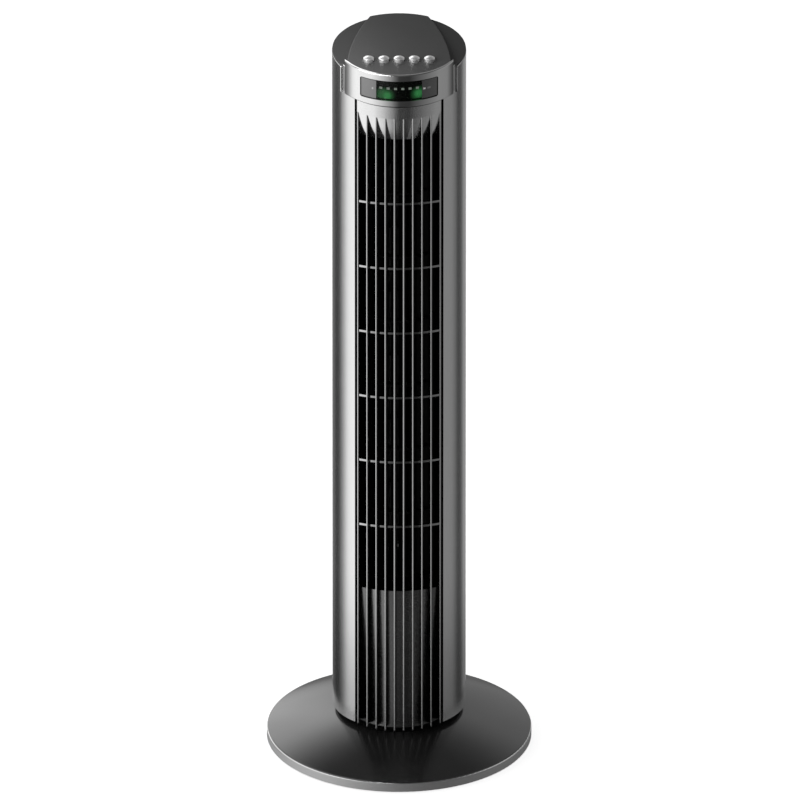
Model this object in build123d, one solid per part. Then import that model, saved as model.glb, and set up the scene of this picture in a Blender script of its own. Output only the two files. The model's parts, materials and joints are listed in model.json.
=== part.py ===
from build123d import *
from math import acos, asin, atan2, ceil, cos, degrees, hypot, pi, radians, sin, sqrt, tan
import os

# Tower fan, millimetres. The floor is z = 0, the fan's front faces -Y and the column swings about Z.

# Base
base_radius = 135.0
foot_height = 2.0
foot_radius = 7.0
foot_inset = 14.0
foot_count = 6
rim_height = 10.0
rim_width = 4.0
rim_round = 0.8
rim_reveal = 0.8
cover_lip = 1.0
dome_rise = 22.5
dome_crown = 1.5
base_wall = 3.0
land_width = 9.0
well_depth = 6.5
ballast_thickness = 3.0
base_boss_radius = 4.5
base_boss_inset = 28.0
base_boss_count = 4

# Swivel and its drive
swing_angle = 35.0
swivel_gap = 5.5
pivot_radius = 20.0
pivot_wall = 5.0
pivot_flange_width = 12.0
running_clearance = 0.06
hub_wall = 4.0
hub_rise = 9.0
retainer_thickness = 2.5
lift_clearance = 0.2
skirt_wall = 3.0
skirt_gap = 3.0
skirt_floor_gap = 1.0
glide_thickness = 2.0
gear_module = 1.5
gear_thickness = 5.0
sector_teeth = 40
pinion_teeth = 12
pressure_angle = 25.0
addendum = 0.8
dedendum = 1.05
backlash = 0.2
gear_clearance = 0.8
swing_motor_radius = 14.0
swing_motor_height = 19.0
swing_motor_offset = 8.0
swing_shaft_radius = 2.5
swing_ear_length = 5.0
swing_ear_width = 7.0
swing_ear_thickness = 1.2

# Fasteners
screw_radius = 1.75
screw_head_radius = 3.0
screw_head_height = 1.4
retainer_screw_radius = 1.2
retainer_screw_count = 3
gear_screw_bearings = (0.0, 100.0, -100.0)

# Casing of the column
column_radius = 68.0
shell_wall = 2.5
shell_return_depth = 9.0
shell_return_wall = 2.0
shell_round = 1.2
notch_round = 1.0
slot_width = 2.4
rear_seam_bearing = 118.0
seam_gap = 0.4
shoulder_rise = 32.0
shoulder_tilt = 4.5
floor_thickness = 3.0
flange_height = 8.0
flange_wall = 3.0

# Outlet grille
fin_count = 10
fin_pitch = 9.25
fin_thickness = 1.7
fin_depth = 11.0
fin_edge_extra = 5.0
fin_heel = 1.0
sill_bow = 12.5
rib_bow = 8.5
fin_tip_round = 3.0
grille_proud = 4.5
grille_bow = 18.6
grille_wall = 2.5
cell_count = 7
rib_height = 2.2
foot_panel_height = 152.6
outlet_height = 507.4
scoop_height = 27.4
scoop_edge = 1.0
scoop_lean = 14.0
scoop_bow = 15.0
scoop_steps = 4
grille_drop = 1.5
grille_skirt_gap = 0.6
strip_height = 13.0
strip_gap = 0.6

# Air duct and impeller
impeller_radius = 42.0
impeller_setback = 6.0
impeller_end_gap = 3.0
blade_count = 28
blade_depth = 8.0
blade_thickness = 1.2
blade_sweep = 9.0
blade_middle_sweep = 2.7
blade_inset = 0.3
impeller_disc = 2.0
hub_radius = 10.0
hub_flange_radius = 15.0
hub_flange_thickness = 2.0
hub_length = 16.0
axle_radius = 3.0
axle_reach = 4.0
bush_radius = 7.0
bush_length = 9.0
bush_flange_radius = 10.0
bush_flange_thickness = 1.5
duct_wall = 2.0
duct_gap = 4.0
scroll_start = 80.0
scroll_steps = 4
tongue_bearing = 62.0
tongue_reach = 13.6

# Fan motor
motor_radius = 38.0
motor_core_height = 24.0
motor_bell_height = 14.0
motor_bell_wall = 2.5
motor_air_gap = 0.5
rotor_radius = 20.0
winding_inner = 23.0
winding_outer = 34.0
winding_height = 10.0
shaft_radius = 4.0
shaft_tail = 6.0
bearing_boss_radius = 9.0
bearing_boss_height = 4.0
bell_vent_count = 8
bell_vent_width = 5.0
bell_vent_height = 7.0
grommet_radius = 5.0
grommet_height = 6.0
grommet_circle = 30.0
grommet_count = 4
capacitor_length = 34.0
capacitor_width = 16.0
capacitor_height = 26.0
capacitor_offset = 36.0
capacitor_round = 3.0

# Rear cover
intake_half_angle = 50.0
intake_margin = 3.0
intake_flange = 3.0
intake_flange_wall = 2.0
intake_wall = 2.1
intake_slot_count = 16
intake_slot_width = 4.2
intake_rail = 4.0
handle_half_width = 43.0
handle_height = 34.0
handle_clearance = 1.0
handle_depth = 27.0
handle_wall = 3.0
handle_round = 4.0
gland_height = 34.0
gland_radius = 6.0
gland_bore = 3.6
gland_collar_radius = 8.5
gland_collar_length = 4.0
casing_screw_bearing = 42.0

# Control head
head_wall = 2.5
brim_thickness = 1.5
brim_inset = 0.3
brim_round = 0.6
head_skirt_bearing = 75.0
bezel_proud = 5.0
bezel_side_proud = 3.5
bezel_wall = 2.5
bezel_bearing = 53.7
bezel_round = 0.9
bezel_ledge = 2.0
bezel_groove = 2.7
bezel_wing = 1.0
bezel_end = 15.4
window_height = 22.0
window_sill = 6.5
window_corner = 2.0
lens_recess = 0.8
lens_lip = 1.5
lens_clearance = 0.1
panel_rise = 5.6
panel_tilt = 2.0
panel_wall = 2.5
panel_round = 0.8
panel_side_half_width = 45.2
panel_side_y = 11.0
panel_rear_half_width = 29.6
panel_rear_inset = 0.6
panel_hollow_y = 20.0

# Display, buttons and boards
display_half_width = 23.2
display_front_gap = 1.2
lamp_count = 6
lamp_pitch = 7.4
lamp_width = 3.0
lamp_height = 2.2
lamp_depth = 0.5
lamp_drop = 9.2
board_thickness = 1.6
display_frame_thickness = 1.6
head_mouth_half_width = 38.0
head_mouth_depth = 17.25
button_count = 5
button_pitch = 15.4
button_setback = 11.2
button_radius = 5.4
button_gap = 0.7
button_proud = 5.0
button_dome = 2.0
button_lip = 1.0
button_lip_height = 1.5
button_lip_clearance = 0.1
button_travel = 1.0
stem_radius = 1.5
stem_clearance = 0.3
stem_entry = 0.3
board_drop = 14.0
board_clearance = 3.0
board_side_gap = 0.6
board_depth = 28.3
post_radius = 2.2
post_insets = ((1.8, 7.3), (7.0, 24.3))
switch_side = 6.0
switch_height = 3.5

# Heights worked out from the driving sizes
rim_top = foot_height + rim_height
cover_edge_top = rim_top + cover_lip
land_top = cover_edge_top + dome_rise
column_bottom = land_top + swivel_gap
well_floor = land_top - well_depth
gear_top = well_floor + gear_thickness
glide_top = gear_top + glide_thickness
floor_top = column_bottom + floor_thickness
hub_top = floor_top + hub_rise
pivot_top = hub_top + lift_clearance
ballast_top = foot_height + ballast_thickness
grille_bottom = column_bottom - grille_drop
outlet_bottom = column_bottom + foot_panel_height
outlet_top = outlet_bottom + outlet_height
strip_bottom = outlet_top + scoop_height
grille_top = strip_bottom + strip_height
head_height = grille_top + strip_gap
shoulder_height = head_height + shoulder_rise
panel_height = shoulder_height + panel_rise
duct_bottom = outlet_bottom
duct_top = outlet_top + rib_height
handle_bottom = duct_top + floor_thickness + flange_height + handle_clearance + handle_wall
handle_top = handle_bottom + handle_height
impeller_bottom = duct_bottom + impeller_end_gap
impeller_top = duct_top - impeller_end_gap
window_bottom = head_height + window_sill
window_top = window_bottom + window_height
above_everything = panel_height + column_radius

# Radii and places worked out from the driving sizes
cover_radius = base_radius - rim_width
cover_edge_radius = base_radius - rim_reveal
hub_bore = pivot_radius + running_clearance
hub_outer = hub_bore + hub_wall
gear_centres = gear_module * (sector_teeth + pinion_teeth) / 2
pinion_tip = gear_module * (pinion_teeth / 2 + addendum)
sector_tip = gear_module * (sector_teeth / 2 + addendum)
skirt_inner = gear_centres + pinion_tip + gear_clearance
skirt_outer = skirt_inner + skirt_wall
well_radius = skirt_outer + skirt_gap
land_radius = well_radius + land_width
casing_inner = column_radius - shell_wall
edge_fin_x = fin_pitch * (fin_count - 1) / 2
grille_half_width = edge_fin_x + fin_thickness / 2
shell_edge_x = grille_half_width + slot_width
shell_return_x = shell_edge_x + shell_return_wall
shell_edge_y = -sqrt(column_radius**2 - shell_edge_x**2)
bezel_half_width = column_radius * sin(radians(bezel_bearing))
window_half_width = bezel_half_width - bezel_end
notch_x = bezel_half_width + bezel_groove
grille_front = column_radius + grille_proud
bezel_front = column_radius + bezel_proud
bezel_side = sqrt(casing_inner**2 - bezel_half_width**2) + bezel_side_proud
head_inner = casing_inner - head_wall
display_board_back = -sqrt(head_inner**2 - head_mouth_half_width**2)
board_front = -display_board_back - board_clearance
head_mouth_y = board_front - head_mouth_depth
board_half_width = sqrt(head_inner**2 - board_front**2) - board_side_gap
button_row_y = -display_board_back - button_setback
gland_z = column_bottom + gland_height


# Drawing helpers

def sloping(height, tilt):
    """Plane across the column that falls towards the front."""
    return Plane((0, 0, height), (1, 0, 0), (0, -sin(radians(tilt)), cos(radians(tilt))))

def plan_point(radius, bearing):
    """Point in plan at a bearing from straight ahead, positive to the fan's +X side."""
    return radius * sin(radians(bearing)), -radius * cos(radians(bearing))


def prism(face, bottom, top):
    """Upright solid of a plan face between two heights."""
    return extrude(Pos(0, 0, bottom) * face, top - bottom)


def disc(radius, bottom, top, x=0.0, y=0.0):
    return prism(Pos(x, y) * Circle(radius), bottom, top)


def ring(inner, outer, bottom, top, x=0.0, y=0.0):
    return prism(Pos(x, y) * (Circle(outer) - Circle(inner)), bottom, top)


def block(x0, x1, y0, y1, z0, z1):
    """Upright block between opposite corners."""
    return Pos((x0 + x1) / 2, (y0 + y1) / 2, (z0 + z1) / 2) * Box(x1 - x0, y1 - y0, z1 - z0)


def ring_sector(inner, outer, start, end):
    """Plan face of the part of a ring between two bearings."""
    middle = (start + end) / 2
    return make_face([
        Line(plan_point(inner, start), plan_point(outer, start)),
        ThreePointArc(plan_point(outer, start), plan_point(outer, middle), plan_point(outer, end)),
        Line(plan_point(outer, end), plan_point(inner, end)),
        ThreePointArc(plan_point(inner, end), plan_point(inner, middle), plan_point(inner, start)),
    ])


def bow(front, half_width, depth):
    """Front-facing arc in plan as centre and radius, from its foremost point and its depth at the sides."""
    radius = (half_width**2 + depth**2) / (2 * depth)
    return radius - front, radius


def inside(arc, wall):
    """Arc about the same centre, set back by a wall."""
    return arc[0], arc[1] - wall


def on_bow(arc, x):
    """Point of a front-facing arc at a distance from the middle."""
    return x, arc[0] - sqrt(arc[1] ** 2 - x**2)


def bowed_face(outer, inner, left, right):
    """Plan face between two front-facing arcs, cut off square at left and right."""
    middle = (left + right) / 2
    return make_face([
        ThreePointArc(on_bow(outer, left), on_bow(outer, middle), on_bow(outer, right)),
        Line(on_bow(outer, right), on_bow(inner, right)),
        ThreePointArc(on_bow(inner, right), on_bow(inner, middle), on_bow(inner, left)),
        Line(on_bow(inner, left), on_bow(outer, left)),
    ])


def turned(edges, centre=0.0, arc=360.0):
    """Solid turned about a vertical axis from a profile drawn as radius and height."""
    profile = Pos(0, centre) * (Plane.XZ * make_face(edges))
    return revolve(profile, Axis((0, centre, 0), (0, 0, 1)), arc)


def below(solid, plane):
    return split(solid, plane, Keep.BOTTOM)


def above(solid, plane):
    return split(solid, plane, Keep.TOP)


def around(count, first=0.0):
    """Even bearings round a full turn."""
    return [first + 360.0 * i / count for i in range(count)]


def rounded(solid, radius, wanted):
    """Solid with the edges rounded whose middle point is wanted."""
    return fillet([edge for edge in solid.edges() if wanted(edge @ 0.5)], radius)


def height_over(plane, point):
    """Distance of a point from a plane, positive on its upper side."""
    return plane.to_local_coords(point).Z


shoulder_plane = sloping(shoulder_height, shoulder_tilt)
brim_plane = shoulder_plane.offset(-brim_thickness)
panel_plane = sloping(panel_height, panel_tilt)
bezel_centre, bezel_radius = bow(bezel_front, bezel_half_width, bezel_front - bezel_side)


def screw(shank):
    """Pan-head screw along Z, its head standing on z = 0 and its shank below."""
    head = disc(screw_head_radius, 0, screw_head_height)
    head = fillet(head.edges().group_by(Axis.Z)[-1], screw_head_height / 2)
    return head + disc(screw_radius, -shank, 0)


# Base

def dome_arc(wall):
    """Centre and radius of the dome's arc in section, moved inwards by a wall."""
    run = cover_edge_radius - land_radius
    chord = hypot(run, dome_rise)
    radius = (chord**2 / 4 + dome_crown**2) / (2 * dome_crown)
    reach = radius - dome_crown
    centre_r = (cover_edge_radius + land_radius) / 2 - reach * dome_rise / chord
    centre_z = cover_edge_top + dome_rise / 2 - reach * run / chord
    return centre_r, centre_z, radius - wall


def dome_point(radius, wall=0.0):
    """Point of the dome's section at a radius."""
    centre_r, centre_z, arc_radius = dome_arc(wall)
    return radius, centre_z + sqrt(arc_radius**2 - (radius - centre_r)**2)


def base_boss_points():
    circle = cover_radius - base_boss_inset
    return [plan_point(circle, b) for b in around(base_boss_count, 180 / base_boss_count)]


def base_boss_top():
    """Height at which the screw bosses end inside the wall of the dome."""
    return dome_point(cover_radius - base_boss_inset + base_boss_radius, base_wall / 2)[1]


def base_cover():
    """Domed moulding with the well that the swivel sits in, its edge lying on the rim."""
    inner = cover_radius - base_wall
    well_outside = well_radius + base_wall
    hole = pivot_radius
    outer_mid = (cover_edge_radius + land_radius) / 2
    inner_mid = (inner + land_radius) / 2
    top_inside = dome_point(land_radius, base_wall)[1]
    floor_underside = well_floor - base_wall
    cover = turned([
        Polyline(
            (cover_radius, ballast_top),
            (cover_radius, rim_top),
            (cover_edge_radius, rim_top),
            (cover_edge_radius, cover_edge_top),
        ),
        ThreePointArc((cover_edge_radius, cover_edge_top), dome_point(outer_mid), (land_radius, land_top)),
        Polyline(
            (land_radius, land_top),
            (well_radius, land_top),
            (well_radius, well_floor),
            (hole, well_floor),
            (hole, floor_underside),
            (well_outside, floor_underside),
            (well_outside, top_inside),
            (land_radius, top_inside),
        ),
        ThreePointArc(
            (land_radius, top_inside), dome_point(inner_mid, base_wall), dome_point(inner, base_wall)),
        Polyline(dome_point(inner, base_wall), (inner, ballast_top), (cover_radius, ballast_top)),
    ])
    for x, y in base_boss_points():
        cover += disc(base_boss_radius, ballast_top, base_boss_top(), x, y)
        cover -= disc(screw_radius, ballast_top, base_boss_top() - base_wall, x, y)
    for bearing in gear_screw_bearings:
        x, y = plan_point(gear_screw_circle(), bearing)
        cover -= disc(screw_radius, floor_underside, well_floor, x, y)
    return cover


def base_rim():
    """Silver trim ring round the base, rounded along both outer edges."""
    middle = (foot_height + rim_top) / 2

    def on_outer_edge(point):
        at_side = hypot(point.X, point.Y) > base_radius - rim_width / 2
        return at_side and abs(point.Z - middle) > rim_height / 4

    return rounded(ring(cover_radius, base_radius, foot_height, rim_top), rim_round, on_outer_edge)


def ballast_plate():
    """Steel plate that closes the base, recessed for its screws."""
    plate = disc(cover_radius, foot_height, ballast_top)
    for x, y in base_boss_points():
        plate -= disc(screw_radius, foot_height, ballast_top, x, y)
        plate -= disc(screw_head_radius, foot_height, foot_height + screw_head_height, x, y)
    return plate


def foot_pads():
    circle = base_radius - foot_inset
    pads = [disc(foot_radius, 0, foot_height, *plan_point(circle, b)) for b in around(foot_count)]
    return [chamfer(pad.edges().group_by(Axis.Z)[0], foot_height / 4) for pad in pads]


def base_screws():
    """Screws driven upwards through the bottom plate."""
    boss_depth = base_boss_top() - base_wall - ballast_top
    shank = ballast_thickness - screw_head_height + boss_depth
    upwards = Rot(180, 0, 0) * screw(shank)
    return [Pos(x, y, foot_height + screw_head_height) * upwards for x, y in base_boss_points()]


# Swivel

def gear_screw_circle():
    return (hub_outer + sector_tip) / 2


def pivot_tube():
    """Flanged spigot that the column turns on, fastened under the floor of the well."""
    flange_top = well_floor - base_wall
    flange_bottom = flange_top - base_wall
    tube = ring(pivot_radius - pivot_wall, pivot_radius, flange_bottom, pivot_top)
    tube += ring(pivot_radius - pivot_wall, pivot_radius + pivot_flange_width, flange_bottom, flange_top)
    for bearing in gear_screw_bearings:
        tube -= disc(screw_radius, flange_bottom, flange_top, *plan_point(gear_screw_circle(), bearing))
    for x, y in retainer_screw_points():
        tube -= disc(retainer_screw_radius, pivot_top - hub_rise, pivot_top, x, y)
    return tube


def retainer_screw_points():
    return [plan_point(pivot_radius - pivot_wall / 2, b) for b in around(retainer_screw_count)]


def retainer_ring():
    """Ring on top of the spigot that keeps the column from lifting off."""
    keeper = ring(pivot_radius - pivot_wall, hub_outer, pivot_top, pivot_top + retainer_thickness)
    for x, y in retainer_screw_points():
        keeper -= disc(retainer_screw_radius, pivot_top, pivot_top + retainer_thickness, x, y)
    return keeper


def retainer_screws():
    top = pivot_top + retainer_thickness
    screws = []
    for x, y in retainer_screw_points():
        shank = disc(retainer_screw_radius, pivot_top - hub_rise, top, x, y)
        screws.append(shank + disc(pivot_wall / 2, top, top + screw_head_height, x, y))
    return screws


def gear_tooth(teeth):
    """Plan face of one involute tooth pointing along +X, running a little below the root circle."""
    pitch_radius = gear_module * teeth / 2
    pressure = radians(pressure_angle)
    base_circle = pitch_radius * cos(pressure)
    tip = pitch_radius + addendum * gear_module
    root = pitch_radius - dedendum * gear_module
    half_pitch = (pi * gear_module / 2 - backlash) / (2 * pitch_radius)

    def flank(radius):
        roll = acos(min(1.0, base_circle / radius))
        return half_pitch + (tan(pressure) - pressure) - (tan(roll) - roll)

    def point(radius, angle):
        return radius * cos(angle), radius * sin(angle)

    start = max(base_circle, root)
    waist = (start + tip) / 2
    foot = root - gear_module / 2
    upper = [point(start, flank(start)), point(waist, flank(waist)), point(tip, flank(tip))]
    lower = [(x, -y) for x, y in upper]
    heel = point(foot, flank(start))
    heel_lower = (heel[0], -heel[1])
    return make_face([
        Line(heel, upper[0]),
        ThreePointArc(*upper),
        ThreePointArc(upper[2], (tip, 0), lower[2]),
        ThreePointArc(*reversed(lower)),
        Line(lower[0], heel_lower),
        Line(heel_lower, heel),
    ])


def gear_root(teeth):
    return gear_module * (teeth / 2 - dedendum)


def sector_gear():
    """Fixed gear that the pinion rolls round, toothed only behind, where the pinion travels."""
    step = 360.0 / sector_teeth
    reach = ceil(swing_angle / step) + 2
    tooth = gear_tooth(sector_teeth)
    face = Circle(gear_root(sector_teeth))
    for i in range(-reach, reach + 1):
        face += Rot(0, 0, 90 + i * step) * tooth
    plain = 180 - (reach + 1) * step
    face += ring_sector(pivot_radius + hub_wall, sector_tip, -plain, plain)
    face -= Circle(pivot_radius)
    gear = prism(face, well_floor, gear_top)
    for bearing in gear_screw_bearings:
        gear -= disc(screw_radius, well_floor, gear_top, *plan_point(gear_screw_circle(), bearing))
    return gear


def gear_screws():
    shank = gear_top - (well_floor - 2 * base_wall)
    return [Pos(*plan_point(gear_screw_circle(), b), gear_top) * screw(shank) for b in gear_screw_bearings]


def glide_ring():
    return ring(pivot_radius, hub_outer, gear_top, glide_top)


def swing_pinion():
    """Pinion with its shaft, a gap between two teeth turned towards the fixed gear."""
    face = Circle(gear_root(pinion_teeth))
    for bearing in around(pinion_teeth, -90 + 180 / pinion_teeth):
        face += Rot(0, 0, bearing) * gear_tooth(pinion_teeth)
    gear = prism(face, well_floor + skirt_floor_gap, gear_top)
    pinion = gear + disc(swing_shaft_radius, gear_top, floor_top)
    return Pos(0, gear_centres) * pinion


def swing_motor():
    """Small geared motor standing on the column's floor, its shaft set to one side of the can."""
    can = disc(swing_motor_radius, floor_top, floor_top + swing_motor_height)
    can = fillet(can.edges().group_by(Axis.Z)[-1], swing_ear_thickness)
    ear_reach = swing_motor_radius + swing_ear_length
    ear_side = swing_ear_width / 2
    ear_top = floor_top + swing_ear_thickness
    ears = block(-ear_reach, ear_reach, -ear_side, ear_side, floor_top, ear_top)
    plug_side = swing_motor_radius / 2
    plug_reach = swing_motor_radius + swing_ear_length / 2
    plug = block(-plug_reach, 0, -plug_side, plug_side, ear_top, floor_top + swing_motor_radius)
    return Pos(swing_motor_offset, gear_centres) * (can + ears + plug)


# Column structure

def inside_plan():
    """Plan inside the casing: bounded by the shells at the sides and by the grille in front."""
    mouth = Pos(0, edge_fin_back() - column_radius) * Rectangle(2 * shell_return_x, 2 * column_radius)
    centre, radius = grille_back()
    behind_grille = Pos(0, centre) * Circle(radius)
    between_fins = Rectangle(2 * (grille_half_width - fin_thickness), 4 * column_radius)
    return Circle(casing_inner) - mouth + (behind_grille & between_fins & mouth)


def flanged_plate(bottom, top, flange_from, flange_to):
    """Plate across the column with an upright flange where it meets the round casing."""
    inner = casing_inner - flange_wall
    start = degrees(asin(shell_return_x / inner))
    flange = prism(ring_sector(inner, casing_inner, start, 360 - start), flange_from, flange_to)
    return prism(inside_plan(), bottom, top) + flange


def casing_screw_levels():
    """Heights of the flanges that the rear cover is screwed to."""
    half = flange_height / 2
    return floor_top + half, bulkhead_bottom() - half, duct_top + floor_thickness + half


def bulkhead_bottom():
    return duct_bottom - floor_thickness


def casing_screw_places():
    return [(z, 180 + side * casing_screw_bearing) for z in casing_screw_levels() for side in (-1, 1)]


def radial(shape, height, bearing, radius):
    """Shape drawn along Z set to point straight out of the column."""
    x, y = plan_point(radius, bearing)
    return Pos(x, y, height) * Rot(0, 0, bearing - 90) * Rot(0, 90, 0) * shape


def casing_screw_bores(radius, outwards, inwards):
    """Cutters for the casing screws."""
    bore = disc(radius, -inwards, outwards)
    return [radial(bore, z, b, column_radius) for z, b in casing_screw_places()]


def turntable():
    """Floor of the column with the hub that runs on the spigot and the skirt that dips into the well."""
    plate = flanged_plate(column_bottom, floor_top, floor_top, floor_top + flange_height)
    plate += disc(hub_outer, glide_top, hub_top)
    plate += ring(skirt_inner, skirt_outer, well_floor + skirt_floor_gap, column_bottom)
    plate -= disc(hub_bore, glide_top, hub_top)
    plate -= disc(swing_shaft_radius + stem_clearance, column_bottom, floor_top, 0, gear_centres)
    return plate - casing_screw_bores(screw_radius, 0, shell_wall + flange_wall)


def lower_bulkhead():
    """Plate between the motor and the duct."""
    bottom = bulkhead_bottom()
    plate = flanged_plate(bottom, duct_bottom, bottom - flange_height, bottom)
    plate -= disc(bearing_boss_radius, bottom, duct_bottom, 0, impeller_setback)
    for x, y in grommet_points():
        plate -= disc(screw_radius, bottom, duct_bottom, x, y)
    return plate - casing_screw_bores(screw_radius, 0, shell_wall + flange_wall)


def upper_bulkhead():
    """Plate over the duct with the seat of the impeller's upper bearing."""
    top = duct_top + floor_thickness
    plate = flanged_plate(duct_top, top, top, top + flange_height)
    plate -= disc(bush_radius, duct_top, top, 0, impeller_setback)
    return plate - casing_screw_bores(screw_radius, 0, shell_wall + flange_wall)


def side_shell():
    """Right-hand side casing: front edge turned in, upper front corner notched for the head."""
    wrap = ring_sector(casing_inner, column_radius, 0, rear_seam_bearing)
    front = Pos(shell_edge_x - column_radius, 0) * Rectangle(2 * column_radius, 4 * column_radius)
    in_front = Pos(0, -column_radius) * Rectangle(4 * column_radius, 2 * column_radius)
    wrap -= front & in_front
    edge = Rectangle(shell_return_wall, 2 * shell_return_depth)
    wrap += (Pos(shell_edge_x + shell_return_wall / 2, shell_edge_y) * edge) & Circle(column_radius)
    shell = prism(wrap, column_bottom, above_everything)
    shell -= block(0, notch_x, -2 * column_radius, 0, head_height, above_everything)
    shell = rounded(shell, notch_round, on_notch_edge)
    return rounded(below(shell, brim_plane), shell_round, on_outer_crown)


def on_notch_edge(point):
    """Whether a point lies on the upright outer edge of the notch."""
    at_notch = point.Y < 0 and abs(point.X - notch_x) < seam_gap and point.Z > grille_top + strip_height
    return at_notch and abs(hypot(point.X, point.Y) - column_radius) < seam_gap


def on_outer_crown(point):
    """Whether a point lies on the casing's outer edge along the sloping crown."""
    at_crown = abs(height_over(brim_plane, point)) < seam_gap
    return at_crown and abs(hypot(point.X, point.Y) - column_radius) < seam_gap


def rear_sector(inner, outer, half_angle):
    """Plan face of the part of a ring within an angle of straight behind."""
    return ring_sector(inner, outer, 180 - half_angle, 180 + half_angle)


def rear_cover():
    """Rear casing with the intake window, the hand-hold opening, the lead's hole and screw recesses."""
    seam = 180 - rear_seam_bearing - degrees(seam_gap / column_radius)
    cover = prism(rear_sector(casing_inner, column_radius, seam), column_bottom, above_everything)
    cover = rounded(below(cover, brim_plane), shell_round, on_outer_crown)
    window = rear_sector(casing_inner - shell_wall, column_radius + shell_wall, intake_half_angle)
    cover -= prism(window, outlet_bottom + intake_margin, outlet_top - intake_margin)
    cover -= handle_space(0)
    cover -= radial(disc(gland_radius, -2 * shell_wall, shell_wall), gland_z, 180, column_radius)
    cover -= casing_screw_bores(screw_radius, shell_wall, 2 * shell_wall)
    return cover - casing_screw_bores(screw_head_radius, shell_wall, screw_head_height)


def casing_screws():
    shank = shell_wall - screw_head_height + flange_wall
    return [radial(screw(shank), z, b, column_radius - screw_head_height) for z, b in casing_screw_places()]


def handle_space(wall):
    """Rounded block of the hand-hold, enlarged by a wall, open to the rear."""
    width = 2 * (handle_half_width + wall)
    outline = RectangleRounded(width, handle_height + 2 * wall, handle_round + wall)
    back = column_radius - handle_depth - wall
    place = Plane((0, back, handle_bottom + handle_height / 2), (-1, 0, 0), (0, 1, 0))
    return extrude(place * outline, 2 * handle_depth)


def handle_cup():
    """Moulded cup behind the hand-hold opening, its mouth against the rear cover."""
    inside_casing = disc(casing_inner, handle_bottom - 2 * handle_wall, handle_top + 2 * handle_wall)
    return (handle_space(handle_wall) & inside_casing) - handle_space(0)


def cord_gland():
    """Bush where the mains lead would pass, collared on both sides of the cover."""
    wall = ring(casing_inner, column_radius, gland_z - gland_collar_radius, gland_z + gland_collar_radius)
    collars = disc(gland_collar_radius, -shell_wall - gland_collar_length / 2, gland_collar_length)
    collars = fillet(collars.edges().group_by(Axis.Z)[-1], gland_collar_length / 4)
    neck = disc(gland_radius, -2 * shell_wall, shell_wall)
    bore = disc(gland_bore, -column_radius / 2, column_radius / 2)
    collars, neck, bore = [radial(shape, gland_z, 180, column_radius) for shape in (collars, neck, bore)]
    return (collars - wall) + (neck & wall) - bore


def intake_grille():
    """Intake panel: upright slots in as many rows as the outlet has cells, held by a flange inside."""
    low = outlet_bottom + intake_margin
    high = outlet_top - intake_margin
    flange_angle = intake_half_angle + degrees(intake_flange / casing_inner)
    panel = prism(rear_sector(casing_inner, casing_inner + intake_wall, intake_half_angle), low, high)
    flange = rear_sector(casing_inner - intake_flange_wall, casing_inner, flange_angle)
    panel += prism(flange, low - intake_flange, high + intake_flange)
    row = (high - low) / cell_count
    step = 2 * intake_half_angle / (intake_slot_count + 1)
    side = intake_slot_width / 2
    front = casing_inner - intake_flange_wall - shell_wall
    slots = []
    for i in range(cell_count):
        bottom = low + i * row + intake_rail / 2
        slot = block(-side, side, front, column_radius + shell_wall, bottom, bottom + row - intake_rail)
        slots += [Rot(0, 0, (j + 1) * step - intake_half_angle) * slot for j in range(intake_slot_count)]
    return panel - slots


# Outlet grille

def grille_fin_places():
    return [(i - (fin_count - 1) / 2) * fin_pitch for i in range(fin_count)]


def grille_bow_front():
    return bow(grille_front, grille_half_width, grille_bow)


def recess(depth, bow_depth):
    """Arc set back from the front of the grille, with its own depth at the sides."""
    return bow(grille_front - depth, grille_half_width, bow_depth)


def grille_recess():
    """Arc that the foot of the closed panel lies on."""
    return recess(fin_depth, grille_bow + fin_edge_extra)


def grille_back():
    """Arc that the fins end on."""
    return inside(grille_recess(), grille_wall + fin_heel)


def edge_fin_back():
    return on_bow(grille_back(), grille_half_width)[1]


def front_grille():
    """Upright fins on curved ribs with a scooped head and a closed foot, clear of the turntable's skirt."""
    ribs = full_width(recess(fin_depth, rib_bow), grille_wall)
    grille = grille_foot() + grille_head()
    for fin in grille_fins():
        grille += fin
    cell = outlet_height / cell_count
    for i in range(1, cell_count):
        z = outlet_bottom + i * cell
        grille += prism(ribs, z - rib_height / 2, z + rib_height / 2)
    return grille - disc(skirt_outer + grille_skirt_gap, grille_bottom, column_bottom)


def full_width(arc, wall):
    """Plan face of a wall behind an arc, as wide as the grille."""
    return bowed_face(arc, inside(arc, wall), -grille_half_width, grille_half_width)


def back_to_bulkhead(arc):
    """Plan face from the middle of the wall behind an arc to the back of the grille."""
    return bowed_face(inside(arc, grille_wall / 2), grille_back(), -grille_half_width, grille_half_width)


def grille_foot():
    """Closed panel, flatter at its upper edge, where a sill leads back to the bulkhead."""
    sill = recess(fin_depth, sill_bow)
    lower = Pos(0, 0, grille_bottom) * full_width(grille_recess(), grille_wall)
    upper = Pos(0, 0, outlet_bottom) * full_width(sill, grille_wall)
    return loft([lower, upper]) + prism(back_to_bulkhead(sill), outlet_bottom - grille_wall, outlet_bottom)


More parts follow.
